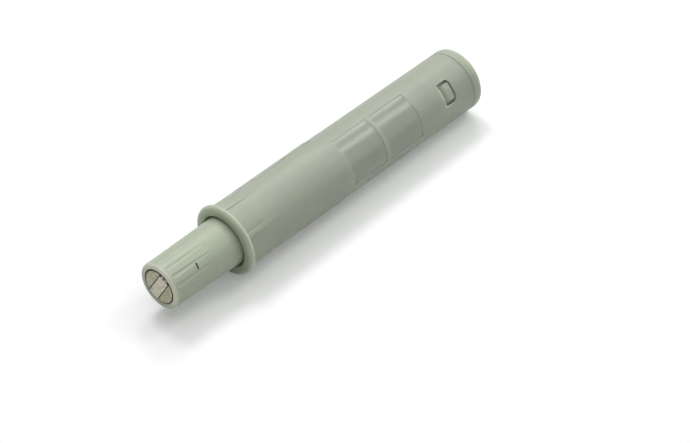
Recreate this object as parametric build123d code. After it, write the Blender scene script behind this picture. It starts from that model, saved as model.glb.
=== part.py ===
from build123d import *
import math
import os

# A push-to-open catch for a cabinet door. A barrel goes into a drilled hole in the edge of the carcass.
# Inside it a sprung plunger slides, and a wire pin that follows a heart-shaped track holds it in or lets
# it out at each push. The nose on the plunger carries a magnet for the steel plate on the door, and
# turning the nose screws it in or out to set the gap behind the door.
#
# Millimetres. The barrel's axis is +Y, from the door towards the rear. The origin lies on that axis, in
# the back face of the flange, which seats on the carcass. Each piece is drawn with the track's side at +Z
# and the snap windows at +X and -X, and the whole catch is then turned about its axis by lie_turn.
# Angles round the barrel are measured from +Z towards +X.

# ---------------------------------------------------------------- driving sizes

lie_turn = -40.0            # how far the catch has rolled about its axis, in degrees
travel = 12.0               # full stroke of the nose

# barrel
barrel_radius = 4.95        # goes into a drilled hole of 10 mm
barrel_length = 47.1        # flange seat to rear rim
barrel_wall = 0.5
shoulder_height = 0.38      # the step in the bore that stops the plunger
shoulder_place = 4.8        # flange seat to that step
rear_rim_bevel = 0.1

flange_rise = 0.55          # how far it stands out beyond the barrel
flange_thickness = 0.75
flange_back_edge = 0.05     # straight part of the rim behind its rounded front
mouth_bevel = 0.12

crush_rib_count = 6
crush_rib_first = 34.0      # angle of the first rib
crush_rib_length = 6.8
crush_rib_height = 0.2
crush_rib_width = 0.62
crush_rib_tip_width = 0.25
crush_rib_full_length = 4.0  # stretch that keeps the full width

tongue_turn = -8.0          # angle of the first spring tongue, the second lies opposite
tongue_root = 3.9           # flange seat to the root of a tongue
tongue_length = 15.4
tongue_width = 2.2
tongue_rise = 0.1           # how far its free end stands proud
tongue_slit = 0.24
score_place = 4.1           # cross groove on the tongue, distance from the root
score_width = 0.24
score_depth = 0.14

panel_count = 2             # shallow smooth panels in line, on each side
panel_start = 20.8
panel_length = 7.0
panel_gap = 0.75
panel_half_angle = 45.5
panel_depth = 0.08

window_inset = 3.65         # rear rim to the rear edge of the snap window
window_length = 2.35
window_width = 3.55
window_corner = 0.7

guide_rib_width = 1.0       # ribs in the bore that stop the plunger from turning
guide_rib_height = 0.3

# rear cap
cap_thickness = 1.9
cap_rear_round = 0.65
cap_front_bevel = 0.1
block_lead = 0.3            # how far the cap's front end lies in front of the windows
collar_length = 2.5         # round part of the cap inside the barrel's rim
lug_sink = 0.08             # how far a snap lug stays below the barrel's surface
lug_width = 2.6
lug_length = 1.85
lug_ramp = 0.8
arm_thickness = 0.95        # springy arm that carries a lug
arm_slot = 0.5              # slot between the arm and the middle block
post_length = 3.0           # centres the spring

# plunger
rear_wall = 1.9             # behind the track
front_land = 1.1            # flat in front of the track
neck_wall = 0.85            # nose sleeve's wall round the neck
spring_bore_inset = 3.1     # stop face to the floor of the spring's bore
track_wall = 0.47           # under the track's floor
edge_bevel = 0.2            # also on the nose sleeve's rear end

# track for the follower pin, in the flat
lane_offset = 1.3           # each lane's distance from the middle
lane_slack = 0.15           # gap between the pin and the wall of its lane
track_depth = 0.68
lane_rise = 0.12            # the first lane climbs by this and drops at its end
front_basin = 1.25          # from the pin at full stroke to the heart's horns
rear_basin = 1.15           # from the pin at rest to the heart's point
heart_notch = 0.8           # depth of the notch that holds the pin
heart_side = 0.3            # how much lower the leaving horn is
heart_round = 0.15
deflector = 0.5             # height of the tooth in the front wall

# follower pin
pin_radius = 0.4
pin_sides = 12              # its wire, like the spring's, is drawn with flat sides
pin_bend = 0.6
pin_pivot_inset = 2.2       # front of the cap to the pivot
pin_pivot_depth = 1.1       # how deep the pin sits in the cap
pin_float = 0.12            # gap between the pin's arm and the flat
tip_float = 0.06            # gap between the pin's tip and the highest floor

# keeper spring
keeper_width = 1.2
keeper_thickness = 0.12
keeper_overhang = 7.5       # reach in front of the collar
keeper_gap = 0.05           # to the pin's arm, and round its seat in the collar
keeper_roof = 0.34          # left between the leaf and the bore

# main spring
spring_wire_radius = 0.22
spring_turns = 8
spring_wire_sides = 5

# nose sleeve
nose_reach = 13.05          # flange seat to tip
nose_taper = 0.15           # loss of radius from the flange to the tip
nose_tip_round = 0.4
tip_wall = 0.9              # round the magnet's pocket
pocket_mouth_bevel = 0.08
web_thickness = 0.6
web_bore_radius = 2.2
skirt_gap = 0.5             # left behind the skirt when the nose is screwed right in
flute_count = 16
flute_first = 11.0          # angle of the first flute
flute_front = 0.95          # nose tip to the middle of the flute's front ball end
flute_rear = 7.4            # and to the middle of its rear one
flute_radius = 0.65
flute_depth = 0.12          # at the front ball
flute_end_depth = 0.04      # and at the rear one
slit_angle = 89.0           # short slit over the holder's rim
slit_width = 0.24
slit_length = 0.98
slit_slant = -8.0

# magnet, pole pieces and their holder
pack_turn = 70.0            # angle of the magnet's long side
pack_recess = 0.05          # how far the magnet lies below the nose's end face
pack_length = 4.43
magnet_thickness = 1.7
magnet_near_gap = 0.05      # magnet's rounded end to the pocket's wall
magnet_far_gap = 0.55       # corners of its flat end to that wall
rim_thickness = 0.6
rim_rise = 0.22             # how far the rim reaches into the sleeve's groove
key_size = 2.6              # square stem that slides in the plunger's neck
key_grip = 1.0              # stem left in the neck when the nose is screwed right out
adjust_in = 1.0             # how far the nose can be screwed in
adjust_out = 3.0            # and out

# drawing
round_steps = 3             # flats that make up the rear cap's and the nose's rounded edges

# clearances
nose_clearance = 0.32       # nose sleeve in the barrel's mouth
plunger_clearance = 0.07    # plunger in the bore
rib_clearance = 0.1         # guide ribs in the plunger's grooves
stop_gap = 0.1              # plunger's stop face to the shoulder
end_gap = 0.3               # plunger's rear end to the cap at full stroke
cap_clearance = 0.05        # rear cap in the bore
lug_clearance = 0.15        # snap lug to the front edge of its window
pivot_clearance = 0.06      # follower pin in its pivot hole
spring_clearance = 0.18     # main spring in its bore and round its post
thread_clearance = 0.05     # nose sleeve on the plunger's neck
pack_clearance = 0.12       # pole pieces in the pocket
pole_gap = 0.11             # magnet to pole piece
key_clearance = 0.05        # square stem in its hole
rim_clearance = 0.05        # holder's rim in its groove

# ---------------------------------------------------------------- derived sizes and places

flange_radius = barrel_radius + flange_rise
flange_front_round = flange_thickness - flange_back_edge
bore_radius = barrel_radius - barrel_wall
mouth_radius = bore_radius - shoulder_height
nose_radius = mouth_radius - nose_clearance
nose_tip_radius = nose_radius - nose_taper
pocket_radius = nose_tip_radius - tip_wall
thread_radius = nose_radius - neck_wall
neck_radius = thread_radius - thread_clearance
plunger_radius = bore_radius - plunger_clearance
cap_bore_radius = bore_radius - cap_clearance
guide_rib_radius = bore_radius - guide_rib_height

rear_end = barrel_length + cap_thickness
window_start = barrel_length - window_inset - window_length
cap_front = window_start - block_lead
collar_front = barrel_length - collar_length
stop_face = shoulder_place + stop_gap
plunger_rear = cap_front - end_gap - travel
spring_floor = stop_face + spring_bore_inset

keeper_top = math.sqrt(bore_radius**2 - (keeper_width / 2) ** 2) - keeper_roof
keeper_low = keeper_top - keeper_thickness
arm_height = keeper_low - keeper_gap - pin_radius
flat_height = arm_height - pin_radius - pin_float
track_floor = flat_height - track_depth
tip_end = track_floor + lane_rise + tip_float
spring_bore_radius = track_floor - track_wall
spring_radius = spring_bore_radius - spring_clearance - spring_wire_radius
post_radius = spring_radius - spring_wire_radius - spring_clearance

lane_half = pin_radius + lane_slack
track_half = lane_offset + lane_half
pin_pivot_y = cap_front + pin_pivot_inset
pin_tip_y = plunger_rear - rear_wall - lane_half
pin_far_y = pin_tip_y - travel
track_front = pin_far_y - lane_half
flat_front = track_front - deflector - front_land

tip_y = -nose_reach
pack_front = tip_y + pack_recess
pack_rear = pack_front + pack_length
rim_rear = pack_rear + rim_thickness
groove_front = pack_rear - rim_clearance
groove_rear = rim_rear + rim_clearance
web_rear = groove_rear + web_thickness
neck_front = web_rear + adjust_in + stop_gap
nose_rear = stop_face - adjust_in - skirt_gap
key_rear = neck_front + adjust_out + key_grip
rim_radius = pocket_radius + rim_rise
pole_radius = pocket_radius - pack_clearance
pocket_half = math.sqrt(pocket_radius**2 - (magnet_thickness / 2) ** 2)
magnet_high = pocket_half - magnet_far_gap


# ---------------------------------------------------------------- helpers

def outline(points, rounds=(), bevels=()):
    """Closed outline of straight lines in the XY plane. The corners nearest to some points are rounded
    or bevelled."""
    face = make_face(Polyline(*points, close=True))
    for point, radius in rounds:
        face = fillet(face.vertices().sort_by_distance((*point, 0))[0], radius)
    for point, length in bevels:
        face = chamfer(face.vertices().sort_by_distance((*point, 0))[0], length)
    return face


def turned(points, rounds=(), bevels=()):
    """Solid of revolution about the barrel's axis, from (radius, place along the axis) points."""
    return revolve(outline(points, rounds, bevels), Axis.Y, 360)


def stepped_round(radius, place, size, start):
    """Points of a quarter round that a few flats make up, for turned(): its middle's radius and place along
    the axis, its size, and the angle at which it starts."""
    points = []
    for step in range(round_steps + 1):
        turn = math.radians(start + 90 * step / round_steps)
        points.append((radius + size * math.cos(turn), place + size * math.sin(turn)))
    return points


def about_axis(shape, angle):
    """The shape turned about the barrel's axis, from +Z towards +X."""
    return Rot(0, angle, 0) * shape


def ring_sector(inner, outer, front, rear, middle_angle, half_angle):
    """Part of a tube between two radii, two places along the axis and two angles."""
    section = outline([(inner, front), (outer, front), (outer, rear), (inner, rear)])
    return about_axis(revolve(section, Axis.Y, 2 * half_angle), middle_angle - half_angle - 90)


def bar(width, front, rear, low, high):
    """Upright block, centred on X = 0, between two places along the axis and two heights."""
    return Pos(0, (front + rear) / 2, (low + high) / 2) * Box(width, rear - front, high - low)


def rod(radius, front, rear):
    """Round rod on the barrel's axis."""
    return turned([(0, front), (radius, front), (radius, rear), (0, rear)])


# ---------------------------------------------------------------- barrel

def barrel_body():
    """The moulded tube with its front flange and stepped bore."""
    front = -flange_thickness
    points = [(mouth_radius, front), (flange_radius, front), (flange_radius, 0), (barrel_radius, 0),
              (barrel_radius, barrel_length), (bore_radius, barrel_length),
              (bore_radius, shoulder_place), (mouth_radius, shoulder_place)]
    rounds = [((flange_radius, front), flange_front_round)]
    bevels = [((mouth_radius, front), mouth_bevel), ((barrel_radius, barrel_length), rear_rim_bevel)]
    return turned(points, rounds, bevels)


def crush_rib(angle):
    """Wedge that bites into the wood: it falls to the barrel's surface and narrows towards the rear."""
    base = barrel_radius - barrel_wall / 2
    crest = barrel_radius + crush_rib_height
    side = Plane.YZ * outline([(0, base), (0, crest), (crush_rib_length, barrel_radius),
                               (crush_rib_length, base)])
    half = crush_rib_width / 2
    tip = crush_rib_tip_width / 2
    plan = outline([(-half, 0), (half, 0), (half, crush_rib_full_length), (tip, crush_rib_length),
                    (-tip, crush_rib_length), (-half, crush_rib_full_length)])
    wedge = extrude(side, crush_rib_width, both=True) & extrude(plan, 2 * barrel_radius)
    return about_axis(wedge, angle)


def tongue_pad(angle):
    """Thin wedge that makes a spring tongue stand proud of the barrel towards its free end."""
    start = tongue_root + tongue_slit
    end = tongue_root + tongue_length
    base = barrel_radius - barrel_wall / 2
    section = outline([(base, start), (barrel_radius, start), (barrel_radius + tongue_rise, end),
                       (base, end)])
    half_angle = math.degrees(math.asin(tongue_width / 2 / barrel_radius))
    pad = about_axis(revolve(section, Axis.Y, 2 * half_angle), -half_angle - 90)
    return about_axis(pad, angle)


def tongue_slits():
    """U-shaped slits that free the two spring tongues, cut straight through both walls."""
    half = tongue_width / 2
    end = tongue_root + tongue_length
    outer = outline([(-half - tongue_slit, tongue_root), (half + tongue_slit, tongue_root),
                     (half + tongue_slit, end + tongue_slit), (-half - tongue_slit, end + tongue_slit)])
    inner = outline([(-half, tongue_root - tongue_slit), (half, tongue_root - tongue_slit),
                     (half, end), (-half, end)])
    return about_axis(extrude(outer - inner, 2 * barrel_radius, both=True), tongue_turn)


def tongue_score(angle):
    """Shallow groove across a tongue."""
    place = tongue_root + score_place
    top = barrel_radius + tongue_rise
    groove = bar(tongue_width, place, place + score_width, barrel_radius - score_depth, top)
    return about_axis(groove, angle)


def snap_windows():
    """Windows for the rear cap's lugs, through both side walls, with rounded rear corners."""
    half = window_width / 2
    end = window_start + window_length
    hole = outline([(window_start, -half), (end, -half), (end, half), (window_start, half)],
                   [((end, -half), window_corner), ((end, half), window_corner)])
    return extrude(Plane.YZ * hole, 2 * barrel_radius, both=True)


def barrel():
    body = barrel_body()
    for number in range(crush_rib_count):
        body += crush_rib(crush_rib_first + number * 360 / crush_rib_count)
    for angle in (tongue_turn, tongue_turn + 180):
        body += tongue_pad(angle)
        body -= tongue_score(angle)
    body -= tongue_slits()
    for side in (90, 270):
        for number in range(panel_count):
            start = panel_start + number * (panel_length + panel_gap)
            body -= ring_sector(barrel_radius - panel_depth, flange_radius, start, start + panel_length,
                                side, panel_half_angle)
        rib = bar(guide_rib_width, shoulder_place, cap_front - end_gap, guide_rib_radius,
                  bore_radius + barrel_wall / 2)
        body += about_axis(rib, side)
    return body - snap_windows()


# ---------------------------------------------------------------- rear cap

def snap_lug():
    """Lug on a snap arm, at +X: a ramp in front, square behind, its top just under the barrel's surface."""
    front = window_start + lug_clearance
    rear = front + lug_length
    low = cap_bore_radius - arm_thickness / 2
    start = cap_bore_radius - lug_sink
    top = barrel_radius - lug_sink
    side = outline([(low, front), (start, front), (top, front + lug_ramp), (top, rear), (low, rear)])
    ramp = revolve(side, Axis.Y, 360)
    return ramp & bar(2 * barrel_radius, front, rear, -lug_width / 2, lug_width / 2)


def rear_cap():
    rim = stepped_round(barrel_radius - cap_rear_round, rear_end - cap_rear_round, cap_rear_round, 0)
    disc = turned([(0, barrel_length), (barrel_radius, barrel_length), *rim, (0, rear_end)],
                  bevels=[((barrel_radius, barrel_length), cap_front_bevel)])
    collar = rod(cap_bore_radius, collar_front, barrel_length)
    block = rod(cap_bore_radius, cap_front, collar_front)
    block &= bar(2 * barrel_radius, cap_front, collar_front, -flat_height, flat_height)
    slot_outside = cap_bore_radius - arm_thickness
    slot = Pos(slot_outside - arm_slot / 2, (cap_front + collar_front) / 2, 0)
    slot *= Box(arm_slot, collar_front - cap_front, 2 * barrel_radius)
    block -= slot
    block -= mirror(slot, Plane.YZ)
    lugs = snap_lug()
    post = rod(post_radius, cap_front - post_length, cap_front)
    pivot = Pos(0, pin_pivot_y, flat_height)
    pivot *= Cylinder(pin_radius + pivot_clearance, 2 * (pin_pivot_depth + pivot_clearance))
    seat = bar(keeper_width + 2 * keeper_gap, collar_front, barrel_length, keeper_low, barrel_radius)
    return disc + (collar - seat) + block + lugs + post - pivot


# ---------------------------------------------------------------- plunger

def heart():
    """The island in the track: two horns with the holding notch between them, and a point at the rear."""
    half = lane_offset - lane_half
    horn = pin_far_y + pin_radius + front_basin
    point = pin_tip_y - pin_radius - rear_basin
    points = [(-half, horn), (0, horn + heart_notch), (half, horn + heart_side),
              (half, point - 2 * half), (0, point), (-half, point - 2 * half)]
    rounds = [(corner, heart_round) for corner in points]
    return outline(points, rounds)


def track():
    """The closed track round the heart, as a pocket in the flat, with a tooth in its front wall."""
    rear = pin_tip_y + lane_half
    pocket = outline([(-track_half, rear), (-track_half, track_front - deflector), (heart_round, track_front),
                      (track_half, track_front - deflector), (track_half, rear)],
                     [((-track_half, rear), lane_half), ((track_half, rear), lane_half)])
    cut = extrude(pocket - heart(), 2 * track_depth)
    return Pos(0, 0, track_floor) * cut


def lane_ramp():
    """Floor of the first lane: it climbs towards the front and drops at its end, so the pin can't go back."""
    start = pin_tip_y - 2 * lane_half
    end = pin_far_y + pin_radius + front_basin
    side = outline([(start, track_floor), (end, track_floor + lane_rise),
                    (end, track_floor - track_wall / 2), (start, track_floor - track_wall / 2)])
    ramp = extrude(Plane.YZ * side, lane_half, both=True)
    return Pos(-lane_offset, 0, 0) * ramp


def key_hole():
    """Square hole in the neck for the magnet holder's stem."""
    size = key_size + 2 * key_clearance
    return about_axis(bar(size, neck_front, key_rear + adjust_in + stop_gap, -size / 2, size / 2), pack_turn)


def plunger():
    body = turned([(0, neck_front), (neck_radius, neck_front), (neck_radius, stop_face),
                   (plunger_radius, stop_face), (plunger_radius, plunger_rear),
                   (spring_bore_radius, plunger_rear), (spring_bore_radius, spring_floor),
                   (0, spring_floor)],
                  bevels=[((neck_radius, neck_front), edge_bevel),
                          ((plunger_radius, plunger_rear), edge_bevel)])
    body -= bar(2 * barrel_radius, flat_front, plunger_rear + end_gap, flat_height, barrel_radius)
    for side in (90, 270):
        groove = bar(guide_rib_width + 2 * rib_clearance, stop_face, plunger_rear,
                     guide_rib_radius - rib_clearance, barrel_radius)
        body -= about_axis(groove, side)
    body -= key_hole()
    body -= track()
    return body + lane_ramp()


# ---------------------------------------------------------------- follower pin and springs

def follower_pin():
    """Bent wire: a leg in the rear cap's pivot hole, an arm over the flat and a tip in the first lane."""
    pivot_end = flat_height - pin_pivot_depth
    path = FilletPolyline((0, pin_pivot_y, pivot_end), (0, pin_pivot_y, arm_height),
                          (-lane_offset, pin_tip_y, arm_height), (-lane_offset, pin_tip_y, tip_end),
                          radius=pin_bend)
    start = Plane(origin=path @ 0, z_dir=path % 0)
    return sweep(start * RegularPolygon(pin_radius, pin_sides), path)


def keeper_spring():
    """Thin leaf, held in the rear cap's collar, that lies over the pin's arm."""
    strip = bar(keeper_width, collar_front - keeper_overhang, barrel_length - keeper_gap,
                keeper_low, keeper_top)
    front_corners = strip.edges().filter_by(Axis.Z).group_by(Axis.Y)[0]
    return fillet(front_corners, keeper_width / 3)


def main_spring():
    """Compression spring with its ends ground flat, from the floor of the plunger's bore to the rear cap."""
    length = cap_front - spring_floor
    pitch = length / spring_turns
    helix = Helix(pitch, length + pitch, spring_radius,
                  center=(0, spring_floor - pitch / 2, 0), direction=(0, 1, 0))
    start = Plane(origin=helix @ 0, z_dir=helix % 0)
    coil = sweep(start * RegularPolygon(spring_wire_radius, spring_wire_sides), helix, is_frenet=True)
    return coil & rod(spring_bore_radius, spring_floor, cap_front)


# ---------------------------------------------------------------- nose

def flute(angle):
    """Groove with a ball end at each end, deepest at the front."""
    slope = nose_taper / nose_reach
    front = nose_tip_radius + slope * flute_front - flute_depth + flute_radius
    rear = nose_tip_radius + slope * flute_rear - flute_end_depth + flute_radius
    length = flute_rear - flute_front
    tilt = math.degrees(math.atan2(rear - front, length))
    shank = Cylinder(flute_radius, math.hypot(length, rear - front),
                     align=(Align.CENTER, Align.CENTER, Align.MIN))
    ball = Rot(90, 0, 0) * Sphere(flute_radius)
    cutter = Pos(0, tip_y + flute_rear, rear) * (Rot(90 + tilt, 0, 0) * shank + ball)
    cutter += Pos(0, tip_y + flute_front, front) * ball
    return about_axis(cutter, angle)


def rim_slit():
    """Short slit through the sleeve's wall, over the holder's rim."""
    place = (groove_front + groove_rear) / 2
    cutter = Rot(0, 0, slit_slant) * Box(slit_length, slit_width, nose_radius)
    return about_axis(Pos(0, place, nose_radius) * cutter, slit_angle)


def nose_sleeve():
    rim = stepped_round(nose_tip_radius - nose_tip_round, tip_y + nose_tip_round, nose_tip_round, -90)
    body = turned([(pocket_radius, tip_y), *rim, (nose_radius, 0),
                   (nose_radius, nose_rear), (thread_radius, nose_rear), (thread_radius, web_rear),
                   (web_bore_radius, web_rear), (web_bore_radius, groove_rear),
                   (rim_radius + rim_clearance, groove_rear), (rim_radius + rim_clearance, groove_front),
                   (pocket_radius, groove_front)],
                  bevels=[((pocket_radius, tip_y), pocket_mouth_bevel),
                          ((nose_radius, nose_rear), edge_bevel)])
    for number in range(flute_count):
        body -= flute(flute_first + number * 360 / flute_count)
    return body - rim_slit()


def magnet_holder():
    """Disc behind the magnet, with a rim that snaps into the sleeve and a square stem for the plunger."""
    disc = rod(rim_radius, pack_rear, rim_rear)
    stem = bar(key_size, rim_rear, key_rear, -key_size / 2, key_size / 2)
    stem = chamfer(stem.edges().filter_by(Axis.Y), key_size / 10)
    return disc + about_axis(stem, pack_turn)


def magnet_block():
    """Block with one end rounded to the pocket's wall."""
    block = bar(magnet_thickness, pack_front, pack_rear, -pocket_radius, magnet_high)
    return about_axis(block & rod(pocket_radius - magnet_near_gap, pack_front, pack_rear), pack_turn)


def pole_piece(side):
    """Half-moon steel piece beside the magnet: side is 1 or -1."""
    disc = rod(pole_radius, pack_front, pack_rear)
    edge = magnet_thickness / 2 + pole_gap
    keep = Pos(side * (edge + pole_radius / 2), 0, 0)
    keep *= Box(pole_radius, 4 * nose_reach, 4 * pole_radius)
    return about_axis(disc & keep, pack_turn)


# ---------------------------------------------------------------- write the pieces

pieces = {
    "barrel": barrel(),
    "rear_cap": rear_cap(),
    "plunger": plunger(),
    "follower_pin": follower_pin(),
    "keeper_spring": keeper_spring(),
    "main_spring": main_spring(),
    "nose_sleeve": nose_sleeve(),
    "magnet_holder": magnet_holder(),
    "magnet_block": magnet_block(),
    "pole_piece_upper": pole_piece(-1),
    "pole_piece_lower": pole_piece(1),
}

os.makedirs("parts", exist_ok=True)
for name, shape in pieces.items():
    piece = about_axis(shape, lie_turn)
    export_step(piece, f"parts/{name}.step")
    box = piece.bounding_box()
    print(f"{name:18s} {len(piece.solids())} solid  {piece.volume:9.3f} mm3  "
          f"y {box.min.Y:7.2f} to {box.max.Y:6.2f}")

swing = math.degrees(2 * math.asin(lane_offset / (pin_pivot_y - pin_tip_y)))
hold = pin_far_y + pin_radius + front_basin + heart_notch - pin_radius
print(f"follower pin: pivot at y {pin_pivot_y:.3f}, swing {swing:.2f} degrees")
print(f"follower axis: {math.sin(math.radians(lie_turn)):.6f}, 0, {math.cos(math.radians(lie_turn)):.6f}")
print(f"held at about {pin_tip_y - hold:.2f} mm of {travel} mm")
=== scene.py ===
# %% [markdown]
# # A push-to-open catch: how it looks
#
# The construction model is ready: a barrel with a flange, a sprung plunger, a nose that screws in
# and out, and a magnet in its tip. This lesson dresses it. The construction pieces stay where they
# are, and get the materials that such a catch is made of: a satin grey-green plastic, polished
# panels, nickel and steel. The glue round the magnet is added, and a wound spring stands for the
# stiff one.
#
# The model is in metres. The barrel's axis is +Y, from the door towards the rear, and +Z is up.

# %% Set-up
import math

import bmesh
import bpy
from mathutils import Matrix, Vector


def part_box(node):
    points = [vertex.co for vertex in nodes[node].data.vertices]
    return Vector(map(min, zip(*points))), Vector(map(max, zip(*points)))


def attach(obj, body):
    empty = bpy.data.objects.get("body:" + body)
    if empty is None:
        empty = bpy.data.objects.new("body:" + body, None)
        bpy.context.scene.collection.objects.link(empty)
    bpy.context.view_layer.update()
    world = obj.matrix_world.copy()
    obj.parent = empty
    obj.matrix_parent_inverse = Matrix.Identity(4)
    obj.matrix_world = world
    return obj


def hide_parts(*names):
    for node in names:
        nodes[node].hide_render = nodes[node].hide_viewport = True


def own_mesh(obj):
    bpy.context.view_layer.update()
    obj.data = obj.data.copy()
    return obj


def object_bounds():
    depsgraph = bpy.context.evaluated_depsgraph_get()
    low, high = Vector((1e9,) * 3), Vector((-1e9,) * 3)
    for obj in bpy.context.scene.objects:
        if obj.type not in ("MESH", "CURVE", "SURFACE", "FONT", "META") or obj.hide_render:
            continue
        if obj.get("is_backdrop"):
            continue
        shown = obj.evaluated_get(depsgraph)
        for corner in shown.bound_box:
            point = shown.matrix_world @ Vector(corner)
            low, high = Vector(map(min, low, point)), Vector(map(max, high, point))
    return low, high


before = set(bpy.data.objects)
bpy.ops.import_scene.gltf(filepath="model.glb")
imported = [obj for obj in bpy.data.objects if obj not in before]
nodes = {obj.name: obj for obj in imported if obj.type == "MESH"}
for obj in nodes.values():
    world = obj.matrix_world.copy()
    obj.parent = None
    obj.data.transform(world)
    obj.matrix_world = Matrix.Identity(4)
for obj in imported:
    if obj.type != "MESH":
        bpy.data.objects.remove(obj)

MM = 0.001
start_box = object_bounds()
print("pieces:", ", ".join(sorted(nodes)))

# %% [markdown]
# ## The camera
#
# A long lens looks down at the catch from the side of its nose, so that the end face, the flange
# and the whole barrel show. The three directions are the camera's own: to its right, up, and
# behind it.

# %% Camera
CAMERA_PLACE = Vector((172.63, -162.07, 217.70)) * MM
camera_data = bpy.data.cameras.new("camera")
camera_data.sensor_width = 36.0
camera_data.lens = 120.83
camera_data.clip_start = 0.01
camera_data.clip_end = 10.0
camera = bpy.data.objects.new("camera", camera_data)
bpy.context.scene.collection.objects.link(camera)
right = Vector((0.7333, 0.6799, 0.0)).normalized()
behind = Vector((0.5035, -0.5430, 0.6720)).normalized()
up = behind.cross(right).normalized()
right = up.cross(behind)
turn = Matrix((right, up, behind)).transposed().to_4x4()
camera.matrix_world = Matrix.Translation(CAMERA_PLACE) @ turn
bpy.context.scene.camera = camera
bpy.context.scene.view_settings.view_transform = "Standard"
print("camera at", [round(v / MM, 1) for v in camera.location], "mm")

# %% [markdown]
# ## The floor
#
# The catch lies on a plain sheet of white paper. Its flange is wider than its rear end, so it rests
# on the two with a slight lean: the floor rises by about half a millimetre along the barrel. A
# shader node is always added by the one small function below, from its kind, its settings and what
# its inputs take.
#
# The paper is a rough white. Seen by the eye, in a reflection or through something clear, it is a
# little whiter and glows faintly, as overexposed studio paper does. It lights the catch as a greyer
# sheet, so that the underside of the barrel stays dark enough. It keeps the shadow all the same.

# %% Floor
FLOOR_SIZE = 3.0                   # metres
FLOOR_GAP = 0.02 * MM              # keeps the paper just clear of the catch
PAPER_GLOW = 0.17
MIX = {"data_type": "RGBA"}
# the colour sockets of a mix node, which also has sockets for numbers
FROM, TO, MIXED = 6, 7, 2


def linear(colour):
    """An sRGB colour such as "b4bba6" as the linear numbers that a shader uses."""
    channels = [int(colour[i:i + 2], 16) / 255 for i in (0, 2, 4)]
    curved = [c / 12.92 if c <= 0.04045 else ((c + 0.055) / 1.055) ** 2.4 for c in channels]
    return (*curved, 1.0)


def add(owner, kind, settings=None, links=None):
    """Adds a shader node: settings are its properties, links its inputs' values or sources."""
    new = owner.node_tree.nodes.new(kind)
    for name, value in (settings or {}).items():
        setattr(new, name, value)
    for name, value in (links or {}).items():
        if isinstance(value, bpy.types.NodeSocket):
            owner.node_tree.links.new(value, new.inputs[name])
        else:
            new.inputs[name].default_value = value
    return new


def blank(name):
    """A new material with only its output node."""
    material = bpy.data.materials.new(name)
    material.use_nodes = True
    material.node_tree.nodes.clear()
    add(material, "ShaderNodeOutputMaterial")
    return material


def finish_material(material, surface):
    """Leads a shader into the material's output."""
    output = material.node_tree.nodes["Material Output"]
    material.node_tree.links.new(surface, output.inputs["Surface"])


bpy.ops.object.select_all(action="DESELECT")
bpy.ops.mesh.primitive_plane_add(size=FLOOR_SIZE)
floor = bpy.context.object
floor.name = "floor"
flange_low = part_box("barrel")[0].z
rear_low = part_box("rear_cap")[0].z
rise = (rear_low - flange_low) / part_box("rear_cap")[1].y
for vertex in floor.data.vertices:
    vertex.co.z = flange_low + rise * vertex.co.y - FLOOR_GAP
floor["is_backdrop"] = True

white_paper = blank("white_paper")
ray = add(white_paper, "ShaderNodeLightPath")
mirrored = add(white_paper, "ShaderNodeMath", {"operation": "MAXIMUM"},
               {0: ray.outputs["Is Glossy Ray"], 1: ray.outputs["Is Transmission Ray"]})
looked_at = add(white_paper, "ShaderNodeMath", {"operation": "MAXIMUM"},
                {0: ray.outputs["Is Camera Ray"], 1: mirrored.outputs["Value"]})
sheet = add(white_paper, "ShaderNodeMix", MIX,
            {"Factor": looked_at.outputs["Value"],
             FROM: linear("cbcccc"), TO: linear("f4f5f5")})
glow = add(white_paper, "ShaderNodeMath", {"operation": "MULTIPLY"},
           {0: looked_at.outputs["Value"], 1: PAPER_GLOW})
paper = add(white_paper, "ShaderNodeBsdfPrincipled",
            links={"Base Color": sheet.outputs[MIXED], "Roughness": 0.9,
                   "Emission Color": linear("ffffff"),
                   "Emission Strength": glow.outputs["Value"]})
finish_material(white_paper, paper.outputs["BSDF"])
floor.data.materials.append(white_paper)
print("floor under the flange at", round(flange_low / MM, 2), "mm")

# %% [markdown]
# ## The light
#
# Soft square lamps hang round the catch, as in a small studio, 0.9 m from its middle. Three keys,
# behind it and to the left, light the upper side of the barrel and throw the soft shadow in front
# of it. Another lamp behind makes the streak along the barrel and its polished panels. A wide one
# overhead is the strongest. The rest are fills: two from the right, so that the end face and the
# magnet aren't dark, one from the front left for the flange, and one low behind.
#
# The surround is white only where it is looked at, straight on, in a reflection or through
# something clear, so it fills the background and lights nothing.

# %% Light
LAMP_DISTANCE = 0.9                # metres
LAMPS = (                          # name, direction, side in metres, watts
    ("key", (-0.36, 0.50, 0.80), 0.3, 0.95),
    ("key_left", (-0.52, 0.50, 0.69), 0.3, 0.75),
    ("key_side", (-0.48, 0.15, 0.85), 0.22, 2.0),
    ("streak", (0.22, 0.54, 0.81), 0.25, 0.85),
    ("overhead", (0.0, 0.0, 1.0), 1.2, 4.2),
    ("right", (0.85, 0.25, 0.55), 0.8, 1.2),
    ("right_low", (0.90, -0.35, 0.25), 0.4, 0.4),
    ("front_left", (-0.30, -0.85, 0.50), 0.6, 0.9),
    ("back", (0.0, 0.90, 0.50), 0.8, 0.9),
)
middle = (start_box[0] + start_box[1]) / 2
for name, direction, size, watts in LAMPS:
    data = bpy.data.lights.new(name, "AREA")
    data.size = size
    data.energy = watts
    lamp = bpy.data.objects.new(name, data)
    bpy.context.scene.collection.objects.link(lamp)
    towards = Vector(direction).normalized()
    lamp.location = middle + towards * LAMP_DISTANCE
    lamp.rotation_mode = "QUATERNION"
    lamp.rotation_quaternion = towards.to_track_quat("Z", "Y")

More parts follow.
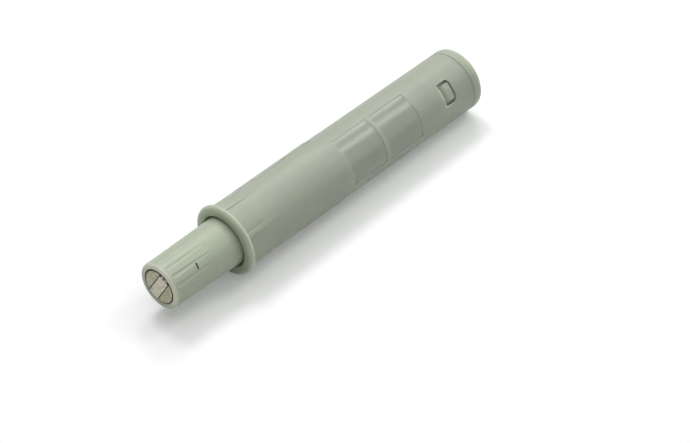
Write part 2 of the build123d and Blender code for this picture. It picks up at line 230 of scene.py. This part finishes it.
world = bpy.data.worlds.new("surround")
world.use_nodes = True
bpy.context.scene.world = world
ray = add(world, "ShaderNodeLightPath")
mirrored = add(world, "ShaderNodeMath", {"operation": "MAXIMUM"},
               {0: ray.outputs["Is Glossy Ray"], 1: ray.outputs["Is Transmission Ray"]})
white = add(world, "ShaderNodeMath", {"operation": "MAXIMUM"},
            {0: ray.outputs["Is Camera Ray"], 1: mirrored.outputs["Value"]})
surround = world.node_tree.nodes["Background"]
surround.inputs["Color"].default_value = linear("fdfdfd")
world.node_tree.links.new(white.outputs["Value"], surround.inputs["Strength"])
print(len(LAMPS), "lamps, together", round(sum(watts for *_, watts in LAMPS), 1), "W")

# %% [markdown]
# ## The plastic
#
# The moulded pieces are made of a slippery plastic such as acetal, coloured sage. It comes from the
# mould with a satin surface. Its colour varies a little over a few millimetres, faint flow lines
# run along the barrel, and a fine grain breaks up the highlight. A bevel node rounds the sharp
# edges of the construction pieces by a few hundredths of a millimetre, as a mould does.
#
# Such a plastic is milky. Light goes about 2.5 mm into it and comes out again, so a thin edge with
# light behind it, such as the flange's rim, glows. Subsurface scattering does that.

# %% Plastic
SAGE = "acb5a0"
NOSE_SAGE = "b2bba6"
SATIN = 0.46                       # roughness of the moulded surface, and how much it varies
SATIN_SPREAD = 0.06
MOULD_EDGE = 0.06 * MM
MILKY = 1.0                        # share of the light that goes into the plastic
NOSE_MILKY = 0.15
MILKY_DEPTH = 2.5 * MM


def plastic(name, colour):
    """Satin moulded plastic: the material, its coordinates, colour, roughness and normal."""
    material = blank(name)
    place = add(material, "ShaderNodeTexCoord").outputs["Object"]
    # clouds of colour about 4 mm across
    cloud = add(material, "ShaderNodeTexNoise",
                links={"Vector": place, "Scale": 1 / (4 * MM), "Detail": 3.0})
    # flow lines about 0.7 mm wide and twelve times as long, coarser than real ones, so they show
    stretched = add(material, "ShaderNodeMapping",
                    links={"Vector": place, "Scale": (1.0, 0.08, 1.0)})
    flow = add(material, "ShaderNodeTexNoise",
               links={"Vector": stretched.outputs["Vector"], "Scale": 1.4 / MM, "Detail": 2.0})
    # grain about 0.1 mm across, coarser than the mould's real grain of 0.02 mm so that it shows
    fine = add(material, "ShaderNodeTexNoise",
               links={"Vector": place, "Scale": 1 / (0.11 * MM), "Detail": 2.0})
    both = add(material, "ShaderNodeMath", {"operation": "MULTIPLY_ADD"},
               {0: flow.outputs["Fac"], 1: 0.5, 2: cloud.outputs["Fac"]})
    # together they darken or lighten the colour by a few hundredths
    shade = add(material, "ShaderNodeMapRange",
                links={"Value": both.outputs["Value"], "From Min": 0.45, "From Max": 1.05,
                       "To Min": 0.955, "To Max": 1.03})
    tint = add(material, "ShaderNodeHueSaturation",
               links={"Color": linear(colour), "Value": shade.outputs["Result"]})
    rough = add(material, "ShaderNodeMapRange",
                links={"Value": flow.outputs["Fac"],
                       "To Min": SATIN - SATIN_SPREAD, "To Max": SATIN + SATIN_SPREAD})
    soft_edges = add(material, "ShaderNodeBevel", {"samples": 6}, {"Radius": MOULD_EDGE})
    bump = add(material, "ShaderNodeBump",
               links={"Height": fine.outputs["Fac"], "Strength": 0.10, "Distance": 0.02 * MM,
                      "Normal": soft_edges.outputs["Normal"]})
    return material, place, tint.outputs["Color"], rough.outputs["Result"], bump.outputs["Normal"]


def milky(material, tint, rough, normal, share=MILKY):
    """Finishes a plastic: light goes a little way into it, so thin edges look brighter."""
    shader = add(material, "ShaderNodeBsdfPrincipled",
                 links={"Base Color": tint, "Roughness": rough, "Normal": normal, "IOR": 1.5,
                        "Specular IOR Level": 0.5, "Subsurface Weight": share,
                        "Subsurface Scale": MILKY_DEPTH, "Subsurface Radius": (1.0, 1.0, 0.9)})
    finish_material(material, shader.outputs["BSDF"])
    return material


def from_axis(material, place):
    """How far a point lies from the barrel's axis, and how far along it."""
    flat = add(material, "ShaderNodeVectorMath", {"operation": "MULTIPLY"},
               {0: place, 1: (1.0, 0.0, 1.0)})
    radius = add(material, "ShaderNodeVectorMath", {"operation": "LENGTH"},
                 {0: flat.outputs["Vector"]})
    along = add(material, "ShaderNodeSeparateXYZ", links={"Vector": place})
    return radius.outputs["Value"], along.outputs["Y"]


material, _, tint, rough, normal = plastic("sage_plastic", SAGE)
sage_plastic = milky(material, tint, rough, normal)
print("plastic:", sage_plastic.name)

# %% [markdown]
# ### The barrel's polished panels
#
# The four shallow panels come from polished parts of the mould. They mirror more and scatter less,
# and a lamp shows in them as a narrow streak. Their colour is also painted a little darker, as
# painted shade for the dark surroundings that they mirror.

# %% Panels
PANEL_BOTTOM = 4.91 * MM           # the panels lie nearer the axis than this, other skin farther
PANEL_FRONT = 20.7 * MM
PANEL_REAR = 35.7 * MM
PANEL_SHADE = 0.94
PANEL_POLISH = 0.24                # how much smoother they are
material, place, tint, rough, normal = plastic("sage_plastic_with_panels", SAGE)
radius, along = from_axis(material, place)
sunk = add(material, "ShaderNodeMath", {"operation": "LESS_THAN"}, {0: radius, 1: PANEL_BOTTOM})
past_front = add(material, "ShaderNodeMath", {"operation": "GREATER_THAN"},
                 {0: along, 1: PANEL_FRONT})
before_rear = add(material, "ShaderNodeMath", {"operation": "LESS_THAN"},
                  {0: along, 1: PANEL_REAR})
between = add(material, "ShaderNodeMath", {"operation": "MULTIPLY"},
              {0: past_front.outputs["Value"], 1: before_rear.outputs["Value"]})
panel = add(material, "ShaderNodeMath", {"operation": "MULTIPLY"},
            {0: sunk.outputs["Value"], 1: between.outputs["Value"]})
# painted shade: the panels' colour is made a little darker
darker = add(material, "ShaderNodeMapRange",
             links={"Value": panel.outputs["Value"], "To Min": 1.0, "To Max": PANEL_SHADE})
panel_tint = add(material, "ShaderNodeHueSaturation",
                 links={"Color": tint, "Value": darker.outputs["Result"]})
smoother = add(material, "ShaderNodeMath", {"operation": "MULTIPLY_ADD"},
               {0: panel.outputs["Value"], 1: -PANEL_POLISH, 2: rough})
barrel_plastic = milky(material, panel_tint.outputs["Color"], smoother.outputs["Value"], normal)
print("panels from", round(PANEL_FRONT / MM, 1), "to", round(PANEL_REAR / MM, 1), "mm")

# %% [markdown]
# ### The nose
#
# The nose is a shade lighter than the barrel. Its end face is painted paler, most on its upper
# side: painted light, as a more rounded end would catch from above. Its inside is painted darker,
# as painted shade, lighter towards the bottom. That shows in the short slit and as a fine ring
# round the magnet, wider and darker at the top. The nose is thicker than the flange and full of
# metal, so less light goes through it, and its flutes stay crisp.

# %% Nose
LEAN = math.radians(30.0)          # of the magnet, from the upright
ACROSS = Vector((math.cos(LEAN), 0.0, -math.sin(LEAN)))
ALONG = Vector((math.sin(LEAN), 0.0, math.cos(LEAN)))
END_FACE = -12.95 * MM
PAINTED_LIGHT_DEPTH = 0.35 * MM
INSIDE = 3.45 * MM                 # what lies nearer the axis than this is inside the nose
POCKET = 2.79 * MM                 # how far from the pack's middle the painted shade reaches
POCKET_SHIFT = ALONG * 0.1 * MM
material, place, tint, rough, normal = plastic("nose_plastic", NOSE_SAGE)
radius, along = from_axis(material, place)
# painted light: the end face is painted paler, most on its upper side
near_end = add(material, "ShaderNodeMapRange",
               links={"Value": along, "From Min": END_FACE + PAINTED_LIGHT_DEPTH, "From Max": END_FACE})
height = add(material, "ShaderNodeVectorMath", {"operation": "DOT_PRODUCT"},
             {0: place, 1: ALONG})
upper = add(material, "ShaderNodeMapRange",
            links={"Value": height.outputs["Value"],
                   "From Min": -2.5 * MM, "From Max": 1.5 * MM, "To Max": 0.9})
painted_end_light = add(material, "ShaderNodeMath", {"operation": "MULTIPLY"},
             {0: near_end.outputs["Result"], 1: upper.outputs["Result"]})
paler = add(material, "ShaderNodeMix", MIX,
            {"Factor": painted_end_light.outputs["Value"], FROM: tint, TO: linear("f0f2dc")})
# painted shade: the inside of the nose and a ring round the magnet are painted dark
behind_face = add(material, "ShaderNodeMath", {"operation": "GREATER_THAN"},
                  {0: along, 1: END_FACE})
within = add(material, "ShaderNodeMath", {"operation": "LESS_THAN"}, {0: radius, 1: INSIDE})
bore = add(material, "ShaderNodeMath", {"operation": "MULTIPLY"},
           {0: behind_face.outputs["Value"], 1: within.outputs["Value"]})
moved = add(material, "ShaderNodeVectorMath", {"operation": "SUBTRACT"},
            {0: place, 1: POCKET_SHIFT})
pocket = add(material, "ShaderNodeMath", {"operation": "LESS_THAN"},
             {0: from_axis(material, moved.outputs["Vector"])[0], 1: POCKET})
shaded_inside = add(material, "ShaderNodeMath", {"operation": "MAXIMUM"},
              {0: bore.outputs["Value"], 1: pocket.outputs["Value"]})
# the painted shade is lighter towards the bottom
thin = add(material, "ShaderNodeMapRange",
           links={"Value": height.outputs["Value"],
                  "From Min": 0.5 * MM, "From Max": -2.5 * MM, "To Max": 0.8})
painted_shade = add(material, "ShaderNodeMix", MIX,
             {"Factor": thin.outputs["Result"], FROM: linear("2b2a20"), TO: linear("8d8f7a")})
nose_tint = add(material, "ShaderNodeMix", MIX,
                {"Factor": shaded_inside.outputs["Value"],
                 FROM: paler.outputs[MIXED], TO: painted_shade.outputs[MIXED]})
nose_plastic = milky(material, nose_tint.outputs[MIXED], rough, normal, NOSE_MILKY)
print("grease inside", round(POCKET / MM, 2), "mm at the magnet")

# %% [markdown]
# ## Metals
#
# The magnet is nickel plated. The steel pole pieces beside it are a little darker, with a faint
# mottle as of slight stains, and both are dull. The epoxy that holds them has crept over their
# edges, so the two joints beside the magnet are darker. The rim of the pack is painted darker, as
# painted shade for the gap round the pack, wider at the top. The follower pin and the main spring
# are drawn steel wire, and the keeper spring is a thin leaf of like steel.

# %% Metals
METAL_EDGE = 0.04 * MM
EPOXY_BAND = (0.82, 0.99)          # where a joint shows, in millimetres from the magnet's middle
PACK_RIM = 2.56 * MM               # painted shade on the pack's rim past this radius
PACK_SHIFT = ALONG * -0.06 * MM


def epoxy_joints_and_rim_shade(material, place, clean):
    """Darkens a clean colour at the epoxy joints by the magnet and paints shade on the pack's rim.
    """
    across = add(material, "ShaderNodeVectorMath", {"operation": "DOT_PRODUCT"},
                 {0: place, 1: ACROSS / MM})
    distance = add(material, "ShaderNodeMath", {"operation": "ABSOLUTE"},
                   {0: across.outputs["Value"]})
    above = add(material, "ShaderNodeMath", {"operation": "GREATER_THAN"},
                {0: distance.outputs["Value"], 1: EPOXY_BAND[0]})
    below = add(material, "ShaderNodeMath", {"operation": "LESS_THAN"},
                {0: distance.outputs["Value"], 1: EPOXY_BAND[1]})
    joint = add(material, "ShaderNodeMath", {"operation": "MULTIPLY"},
                {0: above.outputs["Value"], 1: below.outputs["Value"]})
    moved = add(material, "ShaderNodeVectorMath", {"operation": "SUBTRACT"},
                {0: place, 1: PACK_SHIFT})
    # painted shade: the pack's rim is darkened, more at the top, for the gap round it
    rim = add(material, "ShaderNodeMath", {"operation": "GREATER_THAN"},
              {0: from_axis(material, moved.outputs["Vector"])[0], 1: PACK_RIM})
    edge = add(material, "ShaderNodeMath", {"operation": "MAXIMUM"},
               {0: joint.outputs["Value"], 1: rim.outputs["Value"]})
    joints_and_rim_tint = add(material, "ShaderNodeMix", MIX,
                  {"Factor": edge.outputs["Value"], FROM: clean, TO: linear("4a4434")})
    return joints_and_rim_tint.outputs[MIXED]


def metal(name, light, dark, mottle, roughness, bump_strength, joints_and_rim_shade=False):
    """A mottled metal. mottle is the size of its patches, in millimetres."""
    material = blank(name)
    place = add(material, "ShaderNodeTexCoord").outputs["Object"]
    patches = add(material, "ShaderNodeTexNoise",
                  links={"Vector": place, "Scale": 1 / (mottle * MM), "Detail": 5.0,
                         "Roughness": 0.62})
    ramp = add(material, "ShaderNodeMapRange", {"interpolation_type": "SMOOTHSTEP"},
               {"Value": patches.outputs["Fac"], "From Min": 0.36, "From Max": 0.62})
    mottled = add(material, "ShaderNodeMix", MIX,
                  {"Factor": ramp.outputs["Result"], FROM: linear(dark), TO: linear(light)})
    tint = mottled.outputs[MIXED]
    if joints_and_rim_shade:
        tint = epoxy_joints_and_rim_shade(material, place, tint)
    # the lighter patches are also the smoother ones
    rough = add(material, "ShaderNodeMapRange",
                links={"Value": patches.outputs["Fac"],
                       "To Min": roughness + 0.12, "To Max": roughness - 0.08})
    soft_edges = add(material, "ShaderNodeBevel", {"samples": 6}, {"Radius": METAL_EDGE})
    bump = add(material, "ShaderNodeBump",
               links={"Height": patches.outputs["Fac"], "Strength": bump_strength,
                      "Distance": 0.02 * MM, "Normal": soft_edges.outputs["Normal"]})
    shader = add(material, "ShaderNodeBsdfPrincipled",
                 links={"Base Color": tint, "Metallic": 1.0, "Roughness": rough.outputs["Result"],
                        "Normal": bump.outputs["Normal"]})
    finish_material(material, shader.outputs["BSDF"])
    return material


nickel = metal("nickel_plating", "bdbaa8", "a09d8b", 0.5, 0.42, 0.25, joints_and_rim_shade=True)
pole_steel = metal("ground_steel", "a9a792", "86846f", 0.35, 0.45, 0.35, joints_and_rim_shade=True)
wire_steel = metal("drawn_wire_steel", "c4c4c4", "9a9a9a", 0.25, 0.3, 0.2)
print("metals:", nickel.name, pole_steel.name, wire_steel.name)

# %% [markdown]
# ## Materials on the pieces
#
# Each construction piece gets its finish: the moulded pieces the sage plastic, the barrel the one
# with panels, the nose its own, and the magnet, pole pieces and wire their metals.

# %% Materials on the pieces
finishes = {
    "barrel": barrel_plastic,
    "rear_cap": sage_plastic,
    "nose_sleeve": nose_plastic,
    "plunger": sage_plastic,
    "magnet_holder": sage_plastic,
    "magnet_block": nickel,
    "pole_piece_upper": pole_steel,
    "pole_piece_lower": pole_steel,
    "follower_pin": wire_steel,
    "keeper_spring": wire_steel,
    "main_spring": wire_steel,
}
for name, material in finishes.items():
    for slot in nodes[name].material_slots:
        slot.material = material
print("dressed", len(finishes), "pieces")

# %% [markdown]
# ## The adhesive round the magnet
#
# Dark epoxy holds the magnet between its pole pieces. It fills the space at the magnet's flat end
# and leaves a thin film along each of its two sides. Two small beads of glue stand on the fill;
# their near-white colour is painted highlight, for the glints on them. The pieces are built along
# the magnet, which lies at 30 degrees to the upright.

# %% Adhesive
FORWARD = Vector((0.0, -1.0, 0.0))
CUT_TOLERANCE = 0.001 * MM         # a point this near a cutting plane counts as on it
FACING = 0.95                      # how squarely a face has to look the way that is meant
MAGNET_HALF = 0.85 * MM            # half the magnet's thickness
# the fill, in millimetres: a disc, cut off at the magnet's end and on both sides of it
FILL_RADIUS = 2.54
FILL_LENGTH = 4.1
FILL_MIDDLE = -10.91
FILL_START = 2.03
FILL_HALF = 0.84
# the films, in millimetres: how thick, long and high, and where their middles lie
FILM_SIZE = (0.09, 4.28, 4.3)
FILM_OFFSET = 0.055                # from the magnet's side
FILM_MIDDLE = -10.83
FILM_DROP = -0.2
# the beads, in millimetres: across and along the magnet, and their radius
BEADS = ((-0.42, 2.20, 0.19), (0.24, 2.24, 0.24))
BEAD_FRONT = -12.94
BEAD_SHAPE = (1.0, 0.42, 0.9)


def at(across, y, along):
    """A place by the magnet, from millimetres across it, along the barrel and along the magnet."""
    return (ACROSS * across + ALONG * along) * MM + Vector((0.0, y, 0.0)) * MM


def start_shaping(name):
    """Names the new piece, settles its place and opens it for shaping."""
    piece = bpy.context.object
    piece.name = piece.data.name = name
    bpy.ops.object.transform_apply(location=True, rotation=True, scale=True)
    bpy.ops.object.mode_set(mode="EDIT")
    return piece


def select_facing(piece, direction):
    """Selects the faces that look in a direction, and only them."""
    bpy.ops.mesh.select_mode(type="FACE")
    bpy.ops.mesh.select_all(action="DESELECT")
    mesh = bmesh.from_edit_mesh(piece.data)
    for face in mesh.faces:
        face.select = face.normal.dot(direction) > FACING
    bmesh.update_edit_mesh(piece.data)


def end_shaping(piece, material, body="magnet_head"):
    """Closes a piece, dresses it and lets it ride on its body."""
    bpy.ops.mesh.select_all(action="SELECT")
    bpy.ops.mesh.normals_make_consistent(inside=False)
    bpy.ops.object.mode_set(mode="OBJECT")
    piece.data.materials.append(material)
    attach(piece, body)
    bpy.ops.object.select_all(action="DESELECT")
    print(piece.name, len(piece.data.polygons), "faces")


def resin(name, light, dark, roughness, gloss=0.5):
    """Cured epoxy with faint clouds in it."""
    material = blank(name)
    place = add(material, "ShaderNodeTexCoord").outputs["Object"]
    # clouds about 0.3 mm across
    clouds = add(material, "ShaderNodeTexNoise",
                 links={"Vector": place, "Scale": 3.0 / MM, "Detail": 3.0})
    tint = add(material, "ShaderNodeMix", MIX,
               {"Factor": clouds.outputs["Fac"], FROM: linear(dark), TO: linear(light)})
    bump = add(material, "ShaderNodeBump",
               links={"Height": clouds.outputs["Fac"], "Strength": 0.2, "Distance": 0.05 * MM})
    shader = add(material, "ShaderNodeBsdfPrincipled",
                 links={"Base Color": tint.outputs[MIXED], "Roughness": roughness, "IOR": 1.55,
                        "Specular IOR Level": gloss, "Normal": bump.outputs["Normal"]})
    finish_material(material, shader.outputs["BSDF"])
    return material


dark_epoxy = resin("dark_epoxy", "54493a", "2e261c", 0.35)
# painted highlight: the beads' near-white colour stands in for their glints
glint_painted_epoxy = resin("glint_painted_epoxy", "fff6ee", "f3e6da", 0.12, gloss=1.0)

bpy.ops.object.select_all(action="DESELECT")
bpy.ops.mesh.primitive_cylinder_add(vertices=96, radius=FILL_RADIUS * MM, depth=FILL_LENGTH * MM,
                                    location=at(0.0, FILL_MIDDLE, 0.0),
                                    rotation=(math.pi / 2, LEAN, 0.0))
fill = start_shaping("adhesive_fill")
cuts = ((at(0.0, 0.0, FILL_START), ALONG), (at(-FILL_HALF, 0.0, 0.0), ACROSS),
        (at(FILL_HALF, 0.0, 0.0), -ACROSS))
for edge, direction in cuts:
    bpy.ops.mesh.select_all(action="SELECT")
    bpy.ops.mesh.bisect(plane_co=edge, plane_no=direction, use_fill=True, clear_inner=True,
                        threshold=CUT_TOLERANCE)
select_facing(fill, FORWARD)
bpy.ops.mesh.inset(thickness=0.06 * MM, depth=-0.03 * MM)
end_shaping(fill, dark_epoxy)

bpy.ops.mesh.primitive_cube_add(size=1.0,
                                location=at(MAGNET_HALF / MM + FILM_OFFSET, FILM_MIDDLE, FILM_DROP),
                                rotation=(0.0, LEAN, 0.0),
                                scale=[side * MM for side in FILM_SIZE])
film = start_shaping("adhesive_film_right")
select_facing(film, FORWARD)
bpy.ops.mesh.inset(thickness=0.02 * MM, depth=-0.02 * MM)
bpy.ops.mesh.subdivide(number_cuts=6)
bpy.ops.transform.vertex_random(offset=0.006 * MM, seed=3)
end_shaping(film, dark_epoxy)
other_film = film.copy()
other_film.data = film.data.copy()
other_film.name = other_film.data.name = "adhesive_film_left"
bpy.context.scene.collection.objects.link(other_film)
for vertex in other_film.data.vertices:
    vertex.co -= ACROSS * 2 * (MAGNET_HALF + FILM_OFFSET * MM)
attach(other_film, "magnet_head")

for number, (across, along, size) in enumerate(BEADS):
    bead_place = at(across, BEAD_FRONT, along)
    bpy.ops.mesh.primitive_ico_sphere_add(subdivisions=3, radius=size * MM, location=bead_place)
    bead = start_shaping(f"adhesive_bead_{number + 1}")
    bpy.ops.transform.resize(value=BEAD_SHAPE, center_override=bead_place)
    bpy.ops.transform.vertex_random(offset=0.012 * MM, seed=number)
    bpy.ops.mesh.vertices_smooth(factor=0.5, repeat=2)
    end_shaping(bead, glint_painted_epoxy)
    for polygon in bead.data.polygons:
        polygon.use_smooth = True

# %% [markdown]
# ## The main spring
#
# The construction spring is one stiff solid. The real one is wound from steel wire, and shortens as
# the plunger goes in, so a wound one stands for it. A ring of the wire's section is screwed round
# the barrel's axis, half a turn too far at each end, and both ends are cut flat, as if ground. It
# rides on the housing.

# %% Main spring
WIRE = 0.22 * MM                   # the wire's radius
WIRE_SIDES = 12
TURNS = 8
STEPS_A_TURN = 36
low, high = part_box("main_spring")
length = high.y - low.y
pitch = length / TURNS
coil_radius = high.z - WIRE
bpy.ops.mesh.primitive_circle_add(vertices=WIRE_SIDES, radius=WIRE,
                                  location=(coil_radius, low.y - pitch / 2, 0.0))
spring = bpy.context.object
bpy.ops.object.transform_apply(location=True, rotation=True, scale=True)
winding = spring.modifiers.new("winding", "SCREW")
winding.axis = "Y"
winding.screw_offset = pitch
winding.iterations = TURNS + 1
winding.steps = winding.render_steps = STEPS_A_TURN
bpy.ops.object.modifier_apply(modifier="winding")
spring = start_shaping("wound_main_spring")
for y, outwards in ((low.y, FORWARD), (high.y, -FORWARD)):
    bpy.ops.mesh.select_all(action="SELECT")
    bpy.ops.mesh.bisect(plane_co=(0.0, y, 0.0), plane_no=outwards, use_fill=True,
                        clear_outer=True, threshold=CUT_TOLERANCE)
end_shaping(spring, wire_steel, "housing")
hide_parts("main_spring")
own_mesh(spring)

# %% [markdown]
# ## Done
#
# The box round the whole catch is measured before and after, and how far its corners moved is
# printed, to show that nothing grew.

# %% Finish
end_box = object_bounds()
moves = [(end - start).length for start, end in zip(start_box, end_box)]
print("the box's corners moved by", [round(move / MM, 3) for move in moves], "mm")
